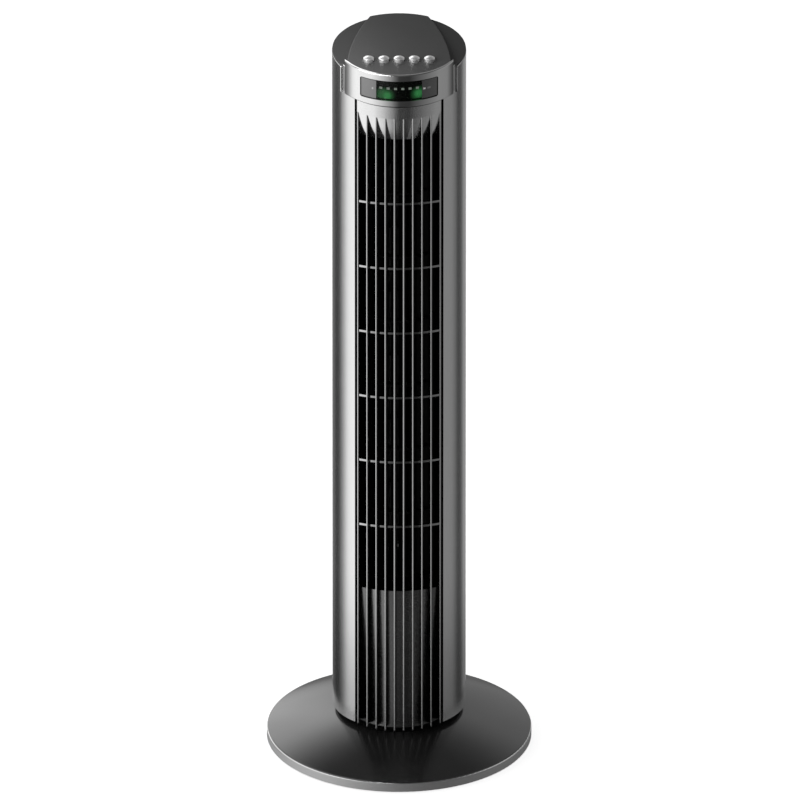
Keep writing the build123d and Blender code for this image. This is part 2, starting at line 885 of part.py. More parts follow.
def grille_head():
    """Plain strip at the top whose lower part sweeps inwards over the outlet, closed by a soffit."""
    run = fin_depth - scoop_edge
    start = radians(scoop_lean)
    half_turn = atan2(run, scoop_height) - start
    sweep_radius = hypot(run, scoop_height) / (2 * sin(half_turn))
    sections = []
    for i in range(scoop_steps + 1):
        lean = start + 2 * half_turn * i / scoop_steps
        depth = scoop_edge + sweep_radius * (cos(start) - cos(lean))
        side = grille_bow + (scoop_bow - grille_bow) * depth / fin_depth
        height = strip_bottom - sweep_radius * (sin(lean) - sin(start))
        sections.append(Pos(0, 0, height) * full_width(recess(depth, side), grille_wall))
    strip = prism(full_width(grille_bow_front(), grille_wall), strip_bottom, grille_top)
    soffit = prism(back_to_bulkhead(recess(fin_depth, scoop_bow)), outlet_top, outlet_top + rib_height)
    head = strip + loft(sections) + soffit
    cheek_front = inside(grille_bow_front(), grille_wall / 2)
    for left in (-grille_half_width, grille_half_width - fin_thickness):
        cheek = bowed_face(cheek_front, grille_back(), left, left + fin_thickness)
        head += prism(cheek, strip_bottom, grille_top)
    return head


def grille_fins():
    """Fins from the foot of the column to the strip, following the bow, with round noses and lower tips."""
    side = fin_thickness / 2
    tip = block(-fin_thickness, fin_thickness, -fin_tip_round, 0, -fin_tip_round, 0)
    tip -= Rot(0, 90, 0) * Cylinder(fin_tip_round, 4 * fin_thickness)
    fins = []
    for x in grille_fin_places():
        front = on_bow(grille_bow_front(), x)[1]
        left = on_bow(grille_back(), x - side)
        right = on_bow(grille_back(), x + side)
        face = make_face([
            ThreePointArc((x - side, front + side), (x, front), (x + side, front + side)),
            Line((x + side, front + side), right),
            ThreePointArc(right, on_bow(grille_back(), x), left),
            Line(left, (x - side, front + side)),
        ])
        corner = Pos(x, front + fin_tip_round, grille_bottom + fin_tip_round)
        fins.append(prism(face, grille_bottom, strip_bottom) - corner * tip)
    return fins


# Air duct

def scroll_wall():
    """Wall on the right that opens out from the wheel towards the grille."""
    end_x = grille_half_width - fin_thickness
    end_y = edge_fin_back() + duct_wall
    end_radius = hypot(end_x, end_y - impeller_setback)
    end_turn = atan2(end_y - impeller_setback, end_x)
    start_turn = radians(scroll_start)
    start_radius = impeller_radius + duct_gap

    def on(share, out):
        turn = start_turn + share * (end_turn - start_turn)
        radius = start_radius + share**2 * (end_radius - start_radius - duct_wall) + out
        return radius * cos(turn), impeller_setback + radius * sin(turn)

    shares = [i / scroll_steps for i in range(scroll_steps + 1)]
    inner = Spline(*[on(share, 0) for share in shares])
    outer = Spline(*[on(share, duct_wall) for share in shares])
    face = make_face([inner, Line(inner @ 1, outer @ 1), outer, Line(outer @ 0, inner @ 0)])
    return prism(face, duct_bottom, duct_top)


def tongue_wall():
    """Cut-off wall on the left, folded to a nose beside the wheel."""
    nose_radius = impeller_radius + duct_gap
    nose = plan_point(nose_radius, -tongue_bearing)
    nose = (nose[0], nose[1] + impeller_setback)
    front = (-(grille_half_width - fin_thickness) - duct_wall, edge_fin_back() + duct_wall)
    side_y = nose[1] + tongue_reach
    side_x = duct_wall - sqrt(casing_inner**2 - side_y**2)
    path = FilletPolyline(front, nose, (side_x, side_y), radius=duct_gap)
    return prism(trace(path, duct_wall), duct_bottom, duct_top)


def impeller():
    """Cross-flow wheel: curved blades carried by two end discs and by rings between the cells."""
    inner = impeller_radius - blade_depth
    pitch = (impeller_top - impeller_bottom - impeller_disc) / cell_count
    first = inner + blade_inset
    last = impeller_radius - blade_inset
    middle = (first + last) / 2
    half = degrees(blade_thickness / (2 * middle))

    def face_line(turn):
        return [
            plan_point(first, turn),
            plan_point(middle, turn + blade_middle_sweep),
            plan_point(last, turn + blade_sweep),
        ]

    one, other = face_line(-half), face_line(half)
    blade = make_face([
        ThreePointArc(*one), Line(one[2], other[2]), ThreePointArc(*reversed(other)), Line(other[0], one[0])])
    blades = [prism(Rot(0, 0, b) * blade, impeller_bottom, impeller_top) for b in around(blade_count)]
    wheel = disc(impeller_radius, impeller_bottom, impeller_bottom + impeller_disc)
    wheel += disc(impeller_radius, impeller_top - impeller_disc, impeller_top)
    for i in range(1, cell_count):
        z = impeller_bottom + i * pitch
        wheel += ring(inner, impeller_radius, z, z + impeller_disc)
    wheel += blades
    wheel -= disc(hub_radius, impeller_bottom, impeller_bottom + impeller_disc)
    wheel -= disc(hub_radius, impeller_top - impeller_disc, impeller_top)
    return Pos(0, impeller_setback) * wheel


def drive_coupling():
    """Hub that carries the wheel on the motor shaft."""
    seat = impeller_bottom + impeller_disc
    hub = disc(hub_radius, impeller_bottom, impeller_bottom + hub_length)
    hub += disc(hub_flange_radius, seat, seat + hub_flange_thickness)
    hub -= disc(shaft_radius, impeller_bottom, impeller_bottom + hub_length)
    return Pos(0, impeller_setback) * hub


def impeller_axle():
    """Stub axle at the wheel's upper end."""
    seat = impeller_top - impeller_disc
    axle = disc(hub_radius, impeller_top - hub_length, impeller_top)
    axle += disc(hub_flange_radius, seat - hub_flange_thickness, seat)
    axle += disc(axle_radius, impeller_top, duct_top + bush_length + axle_reach)
    return Pos(0, impeller_setback) * axle


def top_bush():
    """Bearing bush standing on the upper bulkhead."""
    top = duct_top + floor_thickness
    bush = disc(bush_radius, duct_top, duct_top + bush_length)
    bush += disc(bush_flange_radius, top, top + bush_flange_thickness)
    bush -= disc(axle_radius + running_clearance, duct_top, duct_top + bush_length)
    return Pos(0, impeller_setback) * bush


# Fan motor

def motor_top():
    return bulkhead_bottom() - grommet_height


def core_top():
    return motor_top() - motor_bell_height


def core_bottom():
    return core_top() - motor_core_height


def grommet_points():
    points = [plan_point(grommet_circle, b) for b in around(grommet_count, 180 / grommet_count)]
    return [(x, y + impeller_setback) for x, y in points]


def motor_bell():
    """End bell drawn open side down on z = 0, vented round its side, with a bearing boss on top."""
    bell = disc(motor_radius, 0, motor_bell_height)
    bell -= disc(motor_radius - motor_bell_wall, 0, motor_bell_height - motor_bell_wall)
    boss_top = motor_bell_height + bearing_boss_height
    bell += disc(bearing_boss_radius - motor_air_gap, motor_bell_height - motor_bell_wall, boss_top)
    bell -= disc(shaft_radius + running_clearance, 0, boss_top)
    bell = rounded(bell, motor_bell_wall, on_bell_edge)
    low = (motor_bell_height - motor_bell_wall - bell_vent_height) / 2
    vent = block(-bell_vent_width / 2, bell_vent_width / 2, 0, 2 * motor_radius, low, low + bell_vent_height)
    return bell - [Rot(0, 0, b) * vent for b in around(bell_vent_count)]


def on_bell_edge(point):
    """Whether a point lies on the outer edge of a bell's closed end."""
    at_side = hypot(point.X, point.Y) > motor_radius - motor_air_gap
    return at_side and point.Z > motor_bell_height - motor_air_gap


def motor_top_bell():
    bell = Pos(0, impeller_setback, core_top()) * motor_bell()
    bottom = motor_top() - motor_bell_wall
    return bell - [disc(screw_radius, bottom, motor_top(), x, y) for x, y in grommet_points()]


def motor_bottom_bell():
    return Pos(0, impeller_setback, core_bottom()) * (Rot(180, 0, 0) * motor_bell())


def motor_stator():
    return ring(rotor_radius + motor_air_gap, motor_radius, core_bottom(), core_top(), 0, impeller_setback)


def motor_windings():
    """The two rings of coil ends, above and below the core."""
    coil = ring(winding_inner, winding_outer, 0, winding_height)
    coil = fillet(coil.edges().group_by(Axis.Z)[-1], (winding_outer - winding_inner) / 3)
    upper = Pos(0, impeller_setback, core_top()) * coil
    lower = Pos(0, impeller_setback, core_bottom()) * (Rot(180, 0, 0) * coil)
    return [upper, lower]


def motor_rotor():
    return ring(shaft_radius, rotor_radius, core_bottom(), core_top(), 0, impeller_setback)


def motor_shaft():
    bottom = core_bottom() - motor_bell_height - bearing_boss_height - shaft_tail
    return disc(shaft_radius, bottom, impeller_bottom + hub_length, 0, impeller_setback)


def motor_grommets():
    top = bulkhead_bottom()
    return [ring(screw_radius, grommet_radius, motor_top(), top, x, y) for x, y in grommet_points()]


def motor_screws():
    shank = duct_bottom - motor_top() + motor_bell_wall
    return [Pos(x, y, duct_bottom) * screw(shank) for x, y in grommet_points()]


def run_capacitor():
    face = RectangleRounded(capacitor_width, capacitor_length, capacitor_round)
    return prism(Pos(-capacitor_offset, 0) * face, floor_top, floor_top + capacitor_height)


# Control head

def head_housing():
    """Cap of the column: sloping shoulders on a skirt, open in front for the display and the buttons."""
    shell = head_brim() + below(disc(casing_inner, head_height, above_everything), shoulder_plane)
    hollow = disc(head_inner, head_height, above_everything)
    housing = shell - below(hollow, shoulder_plane.offset(-head_wall))
    rear = rear_sector(head_inner - head_wall, column_radius, 180 - head_skirt_bearing)
    housing -= prism(rear, head_height, handle_top + handle_wall + handle_clearance)
    half = head_mouth_half_width
    housing -= block(-half, half, -column_radius, -head_mouth_y, head_height, above_everything)
    for from_side, from_front in post_insets:
        for side in (-1, 1):
            place = Pos(side * (board_half_width - from_side), from_front - board_front, -board_drop)
            post = extrude(panel_plane * place * Circle(post_radius), 2 * board_drop)
            housing += below(post, shoulder_plane)
    return housing


def head_brim():
    """Edge of the shoulders that lies on the casing, cut away in front for the band."""
    brim = above(disc(column_radius - brim_inset, head_height, above_everything), brim_plane)
    brim = rounded(below(brim, shoulder_plane), brim_round, on_brim_edge)
    return brim - block(-notch_x, notch_x, -2 * column_radius, 0, head_height, above_everything)


def on_brim_edge(point):
    return abs(height_over(shoulder_plane, point)) < brim_thickness / 4


def panel_plan(inset):
    """Plan of the raised panel: wide and bowed in front, narrower behind, with bowed sides."""
    front_radius = bezel_radius - bezel_wall - inset
    front_x = bezel_half_width - bezel_wall - inset
    front_y = bezel_centre - sqrt(front_radius**2 - front_x**2)
    rear_radius = column_radius - panel_rear_inset - inset
    rear_x = panel_rear_half_width - inset
    rear_y = sqrt(rear_radius**2 - rear_x**2)
    side_x = panel_side_half_width - inset
    return make_face([
        ThreePointArc((-front_x, front_y), (0, bezel_centre - front_radius), (front_x, front_y)),
        ThreePointArc((front_x, front_y), (side_x, panel_side_y), (rear_x, rear_y)),
        ThreePointArc((rear_x, rear_y), (0, rear_radius), (-rear_x, rear_y)),
        ThreePointArc((-rear_x, rear_y), (-side_x, panel_side_y), (-front_x, front_y)),
    ])


def top_panel():
    """Raised control panel standing on the shoulders, hollow in front where the buttons pass."""
    panel = prism(panel_plan(0), head_height, above_everything)
    panel = below(above(panel, shoulder_plane), panel_plane)
    panel = rounded(panel, panel_round, on_panel_side)
    hollow = prism(panel_plan(panel_wall), head_height, above_everything)
    reach = 2 * column_radius
    hollow &= block(-reach, reach, -reach, panel_hollow_y, head_height, above_everything)
    panel -= below(hollow, panel_plane.offset(-panel_wall))
    relief = window_half_width + lens_lip + handle_clearance
    relief_top = window_top + lens_lip + lens_clearance
    panel -= block(-relief, relief, -reach, -head_mouth_y, head_height, relief_top)
    hole = disc(button_radius + button_gap, -2 * panel_wall, panel_wall)
    return panel - [place * hole for place in button_places()]


def on_panel_side(point):
    """Whether a point lies on the panel's upper edge, away from the band in front."""
    return abs(height_over(panel_plane, point)) < panel_round / 4 and point.Y > bezel_centre


def bezel_plan(inset):
    front = Pos(0, bezel_centre) * Circle(bezel_radius - inset)
    middle = Pos(0, -column_radius) * Rectangle(2 * (bezel_half_width - inset), 2 * column_radius)
    return (front & middle) - Circle(casing_inner)


def window_block(margin, depth):
    """Rounded block of the display window, enlarged by a margin, running back from the front."""
    outline = RectangleRounded(
        2 * (window_half_width + margin), window_height + 2 * margin, window_corner + margin)
    place = Plane((0, -bezel_front - depth, (window_bottom + window_top) / 2), (1, 0, 0), (0, -1, 0))
    return extrude(place * outline, -2 * depth)


def control_bezel():
    """Silver band round the front of the head with the display window cut through it."""
    band = below(prism(bezel_plan(0), head_height, above_everything), panel_plane)
    band = rounded(band, bezel_round, on_bezel_rim)
    band -= prism(bezel_plan(bezel_wall), head_height + bezel_ledge, above_everything)
    return band + bezel_wings() - window_block(0, bezel_front)


def bezel_wings():
    """Thin ends of the band that close the grooves between it and the shells."""
    reach = notch_x - seam_gap
    start = degrees(asin((bezel_half_width - bezel_wall) / casing_inner))
    end = degrees(asin(reach / (casing_inner + bezel_wing)))
    plan = ring_sector(casing_inner, casing_inner + bezel_wing, start, end)
    plan += ring_sector(casing_inner, casing_inner + bezel_wing, -end, -start)
    return below(prism(plan, head_height, above_everything), shoulder_plane)


def on_bezel_rim(point):
    """Whether a point lies on the band's outer face along its upper or lower edge."""
    outer = abs(hypot(point.X, point.Y - bezel_centre) - bezel_radius) < bezel_round / 4
    top = abs(height_over(panel_plane, point)) < bezel_round / 4
    return outer and (top or abs(point.Z - head_height) < bezel_round / 4)


def display_lens():
    """Smoked window, set back a little in the band and held by a lip behind it."""
    half = window_half_width
    back = bezel_radius - bezel_wall
    pane = bowed_face((bezel_centre, bezel_radius - lens_recess), (bezel_centre, back), -half, half)
    pane = prism(pane, window_bottom, window_top) & window_block(-lens_clearance, bezel_front)
    lip_half = half + lens_lip
    lip = bowed_face((bezel_centre, back), (bezel_centre, back - lens_lip), -lip_half, lip_half)
    return pane + prism(lip, window_bottom - lens_lip, window_top + lens_lip)


def display_board():
    """Board that spans the mouth between the ends of the skirt."""
    half = head_mouth_half_width
    back = display_board_back
    return block(-half, half, back - board_thickness, back, window_bottom - lens_lip, window_top - lens_lip)


def display_frame():
    """Grey mask beside the display, on the front of its board."""
    half = head_mouth_half_width
    back = display_board_back - board_thickness
    front = back - display_frame_thickness
    frame = block(-half, half, front, back, window_bottom - lens_lip, window_top - lens_lip)
    return frame - display_module()


def display_front():
    """Arc of the display's face, close behind the window."""
    return inside((bezel_centre, bezel_radius), bezel_wall + lens_lip + display_front_gap)


def display_module():
    """Display whose face follows the bow of the window."""
    half = display_half_width
    arc = display_front()
    back = display_board_back - board_thickness
    face = make_face([
        ThreePointArc(on_bow(arc, -half), on_bow(arc, 0), on_bow(arc, half)),
        Polyline(on_bow(arc, half), (half, back), (-half, back), on_bow(arc, -half)),
    ])
    return prism(face, window_bottom, window_top - 2 * lens_lip)


def indicator_lamps():
    """Row of small lamps standing out of the face of the display."""
    arc = display_front()
    top = window_top - lamp_drop
    lamps = []
    for i in range(lamp_count):
        x = (i - (lamp_count - 1) / 2) * lamp_pitch
        face = bowed_face(inside(arc, -lamp_depth), arc, x - lamp_width / 2, x + lamp_width / 2)
        lamps.append(prism(face, top - lamp_height, top))
    return lamps


def button_places():
    """Places of the buttons on the sloping panel, each with its Z straight out of the panel."""
    offsets = [(i - (button_count - 1) / 2) * button_pitch for i in range(button_count)]
    return [panel_plane * Pos(x, -button_row_y, 0) for x in offsets]


def button():
    """Domed push button with a retaining lip below the panel and a stem down to its switch."""
    rim = button_proud - button_dome
    lip_top = -panel_wall - button_lip_clearance
    lip_bottom = lip_top - button_lip_height
    lip_radius = button_radius + button_gap + button_lip
    stem_bottom = -board_drop + switch_height - stem_entry
    sphere = (button_radius**2 + button_dome**2) / (2 * button_dome)
    half_r = button_radius / 2
    half_z = button_proud - sphere + sqrt(sphere**2 - half_r**2)
    return turned([
        Polyline(
            (0, button_proud), (0, stem_bottom), (stem_radius, stem_bottom), (stem_radius, lip_bottom),
            (lip_radius, lip_bottom), (lip_radius, lip_top), (button_radius, lip_top), (button_radius, rim)),
        ThreePointArc((button_radius, rim), (half_r, half_z), (0, button_proud)),
    ])


def control_board():
    face = Rectangle(2 * board_half_width, board_depth)
    place = Pos(0, board_depth / 2 - board_front, -board_drop - board_thickness)
    return panel_plane * place * extrude(face, board_thickness)


def button_switches():
    """One switch under each button, open on top for the stem."""
    side = switch_side / 2
    top = switch_height - board_drop
    body = block(-side, side, -side, side, -board_drop, top)
    body -= disc(stem_radius + stem_clearance, top - stem_entry - button_travel - stem_clearance, top)
    return [place * body for place in button_places()]


PIECES = {
    "base_cover": base_cover,
    "base_rim": base_rim,
    "ballast_plate": ballast_plate,
    "foot_pads": foot_pads,
    "base_screws": base_screws,
    "pivot_tube": pivot_tube,
    "retainer_ring": retainer_ring,
    "retainer_screws": retainer_screws,
    "sector_gear": sector_gear,
    "gear_screws": gear_screws,
    "glide_ring": glide_ring,
    "swing_pinion": swing_pinion,
    "swing_motor": swing_motor,
    "turntable": turntable,
    "lower_bulkhead": lower_bulkhead,
    "upper_bulkhead": upper_bulkhead,
    "right_shell": side_shell,
    "left_shell": lambda: mirror(side_shell(), Plane.YZ),
    "rear_cover": rear_cover,
    "casing_screws": casing_screws,
    "handle_cup": handle_cup,
    "cord_gland": cord_gland,
    "intake_grille": intake_grille,
    "front_grille": front_grille,
    "scroll_wall": scroll_wall,
    "tongue_wall": tongue_wall,
    "impeller": impeller,
    "drive_coupling": drive_coupling,
    "impeller_axle": impeller_axle,
    "top_bush": top_bush,
    "motor_top_bell": motor_top_bell,
    "motor_bottom_bell": motor_bottom_bell,
    "motor_stator": motor_stator,
    "motor_windings": motor_windings,
    "motor_rotor": motor_rotor,
    "motor_shaft": motor_shaft,
    "motor_grommets": motor_grommets,
    "motor_screws": motor_screws,
    "run_capacitor": run_capacitor,
    "head_housing": head_housing,
    "top_panel": top_panel,
    "control_bezel": control_bezel,
    "display_lens": display_lens,
    "display_board": display_board,
    "display_frame": display_frame,
    "display_module": display_module,
    "indicator_lamps": indicator_lamps,
    "control_board": control_board,
    "button_switches": button_switches,
}


def write(node, shape):
    """Writes one piece, or a group of alike pieces, as a STEP file."""
    solids = [solid for item in (shape if isinstance(shape, list) else [shape]) for solid in item.solids()]
    export_step(solids[0] if len(solids) == 1 else Compound(children=solids), f"parts/{node}.step")


os.makedirs("parts", exist_ok=True)
for node, make in PIECES.items():
    write(node, make())
for number, place in enumerate(button_places(), 1):
    write(f"button_{number}", place * button())
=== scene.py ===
import json
import math

import bmesh
import bpy
from mathutils import Matrix, Vector


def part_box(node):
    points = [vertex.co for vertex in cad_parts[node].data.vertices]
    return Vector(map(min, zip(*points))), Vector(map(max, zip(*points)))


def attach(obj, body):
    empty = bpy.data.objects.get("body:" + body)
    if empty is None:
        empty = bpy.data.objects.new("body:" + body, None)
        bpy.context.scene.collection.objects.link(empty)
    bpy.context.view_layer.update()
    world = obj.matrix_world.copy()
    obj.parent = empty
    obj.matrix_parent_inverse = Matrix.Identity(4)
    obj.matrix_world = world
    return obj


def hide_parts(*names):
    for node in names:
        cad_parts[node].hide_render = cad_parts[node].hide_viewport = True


# Tower fan: the finishes of its pieces, the lit display, the recesses of the rear screws and a plain white
# studio. Metres, front towards -Y.

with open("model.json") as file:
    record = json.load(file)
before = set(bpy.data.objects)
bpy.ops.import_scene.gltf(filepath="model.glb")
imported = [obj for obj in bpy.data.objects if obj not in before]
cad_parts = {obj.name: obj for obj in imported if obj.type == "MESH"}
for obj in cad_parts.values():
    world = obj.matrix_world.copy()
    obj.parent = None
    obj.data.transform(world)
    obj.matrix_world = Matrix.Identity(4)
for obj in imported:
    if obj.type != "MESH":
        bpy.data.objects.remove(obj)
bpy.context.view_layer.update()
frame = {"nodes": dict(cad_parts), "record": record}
nodes = frame["nodes"]

MM = 0.001

# Lacquer: its metal flakes, its cloudy shade and the orange peel of its skin
FLAKE = 0.35 * MM
CLOUD = 18 * MM
PEEL = 1.6 * MM

# Fine level lines of plated and turned metal are this many times longer than high
LINE_STRETCH = 40

# Pits of a moulding's grain, and the width of the painted highlight along its edges
GRAIN = 0.45 * MM
GRAIN_DEPTH = 0.02 * MM
EDGE_WIDTH = 0.9 * MM

# Depth of the outlet grille's bow at its sides
GRILLE_BOW = 18.6 * MM

# Dark margin of the display window's print, from its outer to its inner edge
PRINT_MARGIN = (2.3 * MM, 2.9 * MM)

# Glows of the display: place across, height over its foot, half width, half height, level
GLOWS = (
    (-14.5 * MM, 4 * MM, 13 * MM, 11 * MM, 0.42),
    (-12 * MM, 3.5 * MM, 6 * MM, 6 * MM, 0.45),
    (20 * MM, 5 * MM, 11 * MM, 11 * MM, 0.42),
    (19.5 * MM, 5.5 * MM, 6 * MM, 6 * MM, 0.42),
)

# Cross recess of the rear screws, and how far each screw is turned from the one before
RECESS_REACH = 1.9 * MM
RECESS_WIDTH = 0.9 * MM
RECESS_DEPTH = 0.9 * MM
RECESS_TAPER = 0.6
SCREW_TURN = math.radians(37)
WELD = 0.001 * MM
SHARP_ANGLE = math.radians(30)

# Camera: degrees above level, distance, and the width and middle of what it shows
VIEW_ELEVATION = 25.6
VIEW_DISTANCE = 36.0
VIEW_WIDTH = 0.8125
VIEW_TARGET = (0.0009, 0.0, 0.3796)
SENSOR = 36.0

# Light of the studio by bearing from straight ahead, in degrees to the right, as shares of white
LOW_LIGHT = (
    (-180, 0.30), (-152, 0.17), (-140, 0.06), (-128, 0.06), (-114, 0.42), (-100, 1.30), (-90, 1.50),
    (-54, 1.35), (-34, 0.90), (-16, 0.42), (-8, 0.20), (0, 0.06), (20, 0.05), (38, 0.15), (58, 0.25),
    (82, 0.36), (104, 0.34), (122, 0.08), (134, 0.10), (150, 0.42), (180, 0.30),
)
HIGH_LIGHT = (
    (-180, 0.28), (-164, 1.35), (-140, 1.10), (-104, 1.00), (-96, 1.15), (-55, 1.15), (-25, 0.25),
    (20, 0.08), (55, 0.15), (80, 0.45), (112, 0.45), (140, 0.40), (164, 0.42), (180, 0.28),
)
CEILING_LIGHT = 0.07

# Sines of the rise where the low light gives way to the high one, and that to the ceiling
HIGH_RISE = (-0.22, 0.10)
CEILING_RISE = (0.50, 0.86)

# Cosines of the turn from the camera's view within which mirrored and passing rays find white too
STRAIGHT_ON = (0.97, 0.995)

# Floor: half its width, its own light to the camera, and how it dims what the fan mirrors near its foot
FLOOR_REACH = 30.0
FLOOR_CELLS = 8
FLOOR_GLOW = 0.78
SHADE_LEVEL = 0.52
SHADE_REACH = (0.15, 0.50)

# Lamps over the head: name, place from the top of the head, width and power
HEAD_LAMPS = (
    ("front lamp", (-0.12, -0.13, 0.09), 0.20, 0.56),
    ("rear lamp", (-0.07, 0.16, 0.12), 0.10, 0.04),
)


class Field:
    """A socket of a node tree. Sums of fields and numbers add the nodes that work them out."""

    def __init__(self, tree, socket):
        self.tree = tree
        self.socket = socket

    def node(self, kind, settings=(), sockets=(), output=0):
        """Adds a node: its settings come first, then the values or fields of its sockets."""
        made = self.tree.nodes.new(kind)
        for name, value in dict(settings).items():
            if name == "stops":
                fill_ramp(made.color_ramp, value)
            else:
                setattr(made, name, value)
        for name, value in dict(sockets).items():
            plug(self.tree, made.inputs[name], value)
        return Field(self.tree, made.outputs[output])

    def maths(self, operation, *values):
        """Adds a node that works out an operation, on vectors if this field is one."""
        kind = "ShaderNodeVectorMath" if self.socket.type == "VECTOR" else "ShaderNodeMath"
        output = 1 if operation in ("LENGTH", "DOT_PRODUCT") else 0
        return self.node(kind, {"operation": operation}, enumerate(values), output)

    def __add__(self, other):
        return self.maths("ADD", self, other)

    def __sub__(self, other):
        return self.maths("SUBTRACT", self, other)

    def __mul__(self, other):
        return self.maths("MULTIPLY", self, other)

    def __truediv__(self, other):
        return self.maths("DIVIDE", self, other)

    def __pow__(self, other):
        return self.maths("POWER", self, other)

    def __radd__(self, other):
        return self.maths("ADD", other, self)

    def __rsub__(self, other):
        return self.maths("SUBTRACT", other, self)

    def __rmul__(self, other):
        return self.maths("MULTIPLY", other, self)

    def __abs__(self):
        return self.maths("ABSOLUTE", self)

    def part(self, axis):
        """One component of a vector."""
        return self.node("ShaderNodeSeparateXYZ", (), {"Vector": self}, axis)

    def rising(self, low, high):
        """0 below low, 1 above high and smooth between them."""
        return self.node(
            "ShaderNodeMapRange", {"interpolation_type": "SMOOTHSTEP"}, {"Value": self, 1: low, 2: high})

    def between(self, first, second):
        """Colour this share of the way from a first colour to a second, each a triple or a field."""
        ends = [colour if isinstance(colour, Field) else (*colour, 1) for colour in (first, second)]
        return self.node("ShaderNodeMix", {"data_type": "RGBA"}, {0: self, 6: ends[0], 7: ends[1]}, 2)

    def noise(self, size, detail=2.0, stretch=(1, 1, 1)):
        """Cloudy pattern from 0 to 1 whose patches are about a size across."""
        placed = self.maths("MULTIPLY", self, stretch)
        return self.node("ShaderNodeTexNoise", (), {"Vector": placed, "Scale": 1 / size, "Detail": detail})

    def lines(self, width):
        """Fine level lines about a width high."""
        return self.noise(width * LINE_STRETCH, 3.0, (1, 1, LINE_STRETCH))

    def grains(self, size):
        """Distance to the nearest of many scattered points about a size apart."""
        return self.node("ShaderNodeTexVoronoi", (), {"Vector": self, "Scale": 1 / size})


def plug(tree, socket, value):
    """Feeds a socket from a field, or sets it to a value."""
    if isinstance(value, Field):
        tree.links.new(value.socket, socket)
    else:
        socket.default_value = value


def fill_ramp(ramp, stops):
    """Sets a ramp of greys from pairs of place and level."""
    while len(ramp.elements) > 1:
        ramp.elements.remove(ramp.elements[-1])
    for i, (place, level) in enumerate(stops):
        element = ramp.elements[0] if i == 0 else ramp.elements.new(place)
        element.position = place
        element.color = (level, level, level, 1)


class Finish:
    """A material in the making: its shader, and the place on the part that its patterns follow."""

    def __init__(self, name, **constants):
        self.material = bpy.data.materials.new(name)
        self.material.use_nodes = True
        self.tree = self.material.node_tree
        self.shader = self.tree.nodes["Principled BSDF"]
        for socket, value in constants.items():
            self.shader.inputs[socket.replace("_", " ")].default_value = value
        self.place = Field(self.tree, self.tree.nodes.new("ShaderNodeTexCoord").outputs["Object"])

    def feed(self, socket, field):
        plug(self.tree, self.shader.inputs[socket], field)

    def bump(self, height, depth, strength):
        self.feed("Normal", height.node(
            "ShaderNodeBump", (), {"Height": height, "Distance": depth, "Strength": strength}))


def grey(level):
    return (level, level, level)


# Finishes

def silver_paint(name):
    """Satin silver lacquer: fine metal flakes under a smooth skin with a little orange peel."""
    finish = Finish(name, Metallic=0.97)
    flakes = finish.place.grains(FLAKE)
    cloud = finish.place.noise(CLOUD)
    shade = 0.55 * flakes + 0.45 * cloud
    finish.feed("Base Color", shade.between(grey(0.5336), grey(0.6148)))
    finish.feed("Roughness", 0.14 + 0.05 * cloud + 0.04 * flakes)
    finish.bump(finish.place.noise(PEEL, 1.0), 0.006 * MM, 0.5)
    return finish.material


def grille_paint(name):
    """Silver lacquer, with painted shade deep between the fins, on their sides and in the gaps near the
    closed panel's sides.
    """
    low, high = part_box("front_grille")
    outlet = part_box("lower_bulkhead")[1].z
    radius = (high.x**2 + GRILLE_BOW**2) / (2 * GRILLE_BOW)
    finish = Finish(name, Metallic=0.97)
    flakes = finish.place.grains(FLAKE)
    cloud = finish.place.noise(CLOUD)
    across, along, height = (finish.place.part(axis) for axis in range(3))
    # How far a place lies behind the bowed front, and how far its surface turns away from ahead
    depth = radius - (across**2 + (along - (low.y + radius)) ** 2) ** 0.5
    turned = finish.place.node("ShaderNodeTexCoord", output="Normal").part(1).rising(-0.6, -0.1)
    # The closed panel under the outlet, and the gaps near its two sides
    closed = 1 - height.rising(outlet, outlet + 20 * MM)
    beside = closed * abs(across).rising(22 * MM, 32 * MM) * depth.rising(1.5 * MM, 3 * MM)
    # Painted shade: darker deep behind the bowed front, on faces turned sideways and in the gaps near the
    # closed panel's sides
    painted_shade_factor = (1 - 0.6 * depth.rising(3 * MM, 11 * MM)) * (1 - 0.8 * beside) * (1 - turned)
    shade = painted_shade_factor * (0.85 + 0.15 * flakes)
    finish.feed("Base Color", shade.between(grey(0.07), grey(0.62)))
    finish.feed("Roughness", 0.06 + 0.16 * closed + 0.04 * cloud + 0.04 * flakes)
    finish.bump(finish.place.noise(PEEL, 1.0), 0.004 * MM, 0.5)
    return finish.material


def plated_band(name):
    """Satin plating with faint lines round the band."""
    finish = Finish(name, Metallic=1.0)
    lines = finish.place.lines(0.125 * MM)
    finish.feed("Base Color", lines.between(grey(0.54), grey(0.64)))
    finish.feed("Roughness", 0.08 + 0.06 * lines)
    finish.bump(lines, 0.006 * MM, 0.5)
    return finish.material


def button_plating(name):
    """Bright satin plating of the push buttons."""
    finish = Finish(name, Metallic=0.85)
    cloud = finish.place.noise(2 * MM)
    finish.feed("Base Color", cloud.between(grey(0.80), grey(0.90)))
    finish.feed("Roughness", 0.30 + 0.08 * cloud)
    finish.bump(finish.place.noise(0.5 * MM), 0.006 * MM, 0.4)
    return finish.material


def rim_paint(name):
    """Satin lacquer of the base's rim, smoother along its upper edge, with a painted highlight there: a
    near-white band of colour.
    """
    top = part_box("base_rim")[1].z
    finish = Finish(name, Metallic=0.95)
    flakes = finish.place.grains(FLAKE)
    lines = finish.place.lines(0.125 * MM)
    # Painted highlight: the colour turns near-white in a band just under the rim's top
    edge = finish.place.part(2).rising(top - 1.0 * MM, top - 0.7 * MM)
    shade = 0.5 * flakes + 0.5 * lines
    finish.feed("Base Color", edge.between(shade.between(grey(0.66), grey(0.78)), grey(0.95)))
    finish.feed("Roughness", 0.12 + (0.50 + 0.06 * lines) * (1 - edge))
    finish.bump(lines, 0.01 * MM, 0.5)
    return finish.material


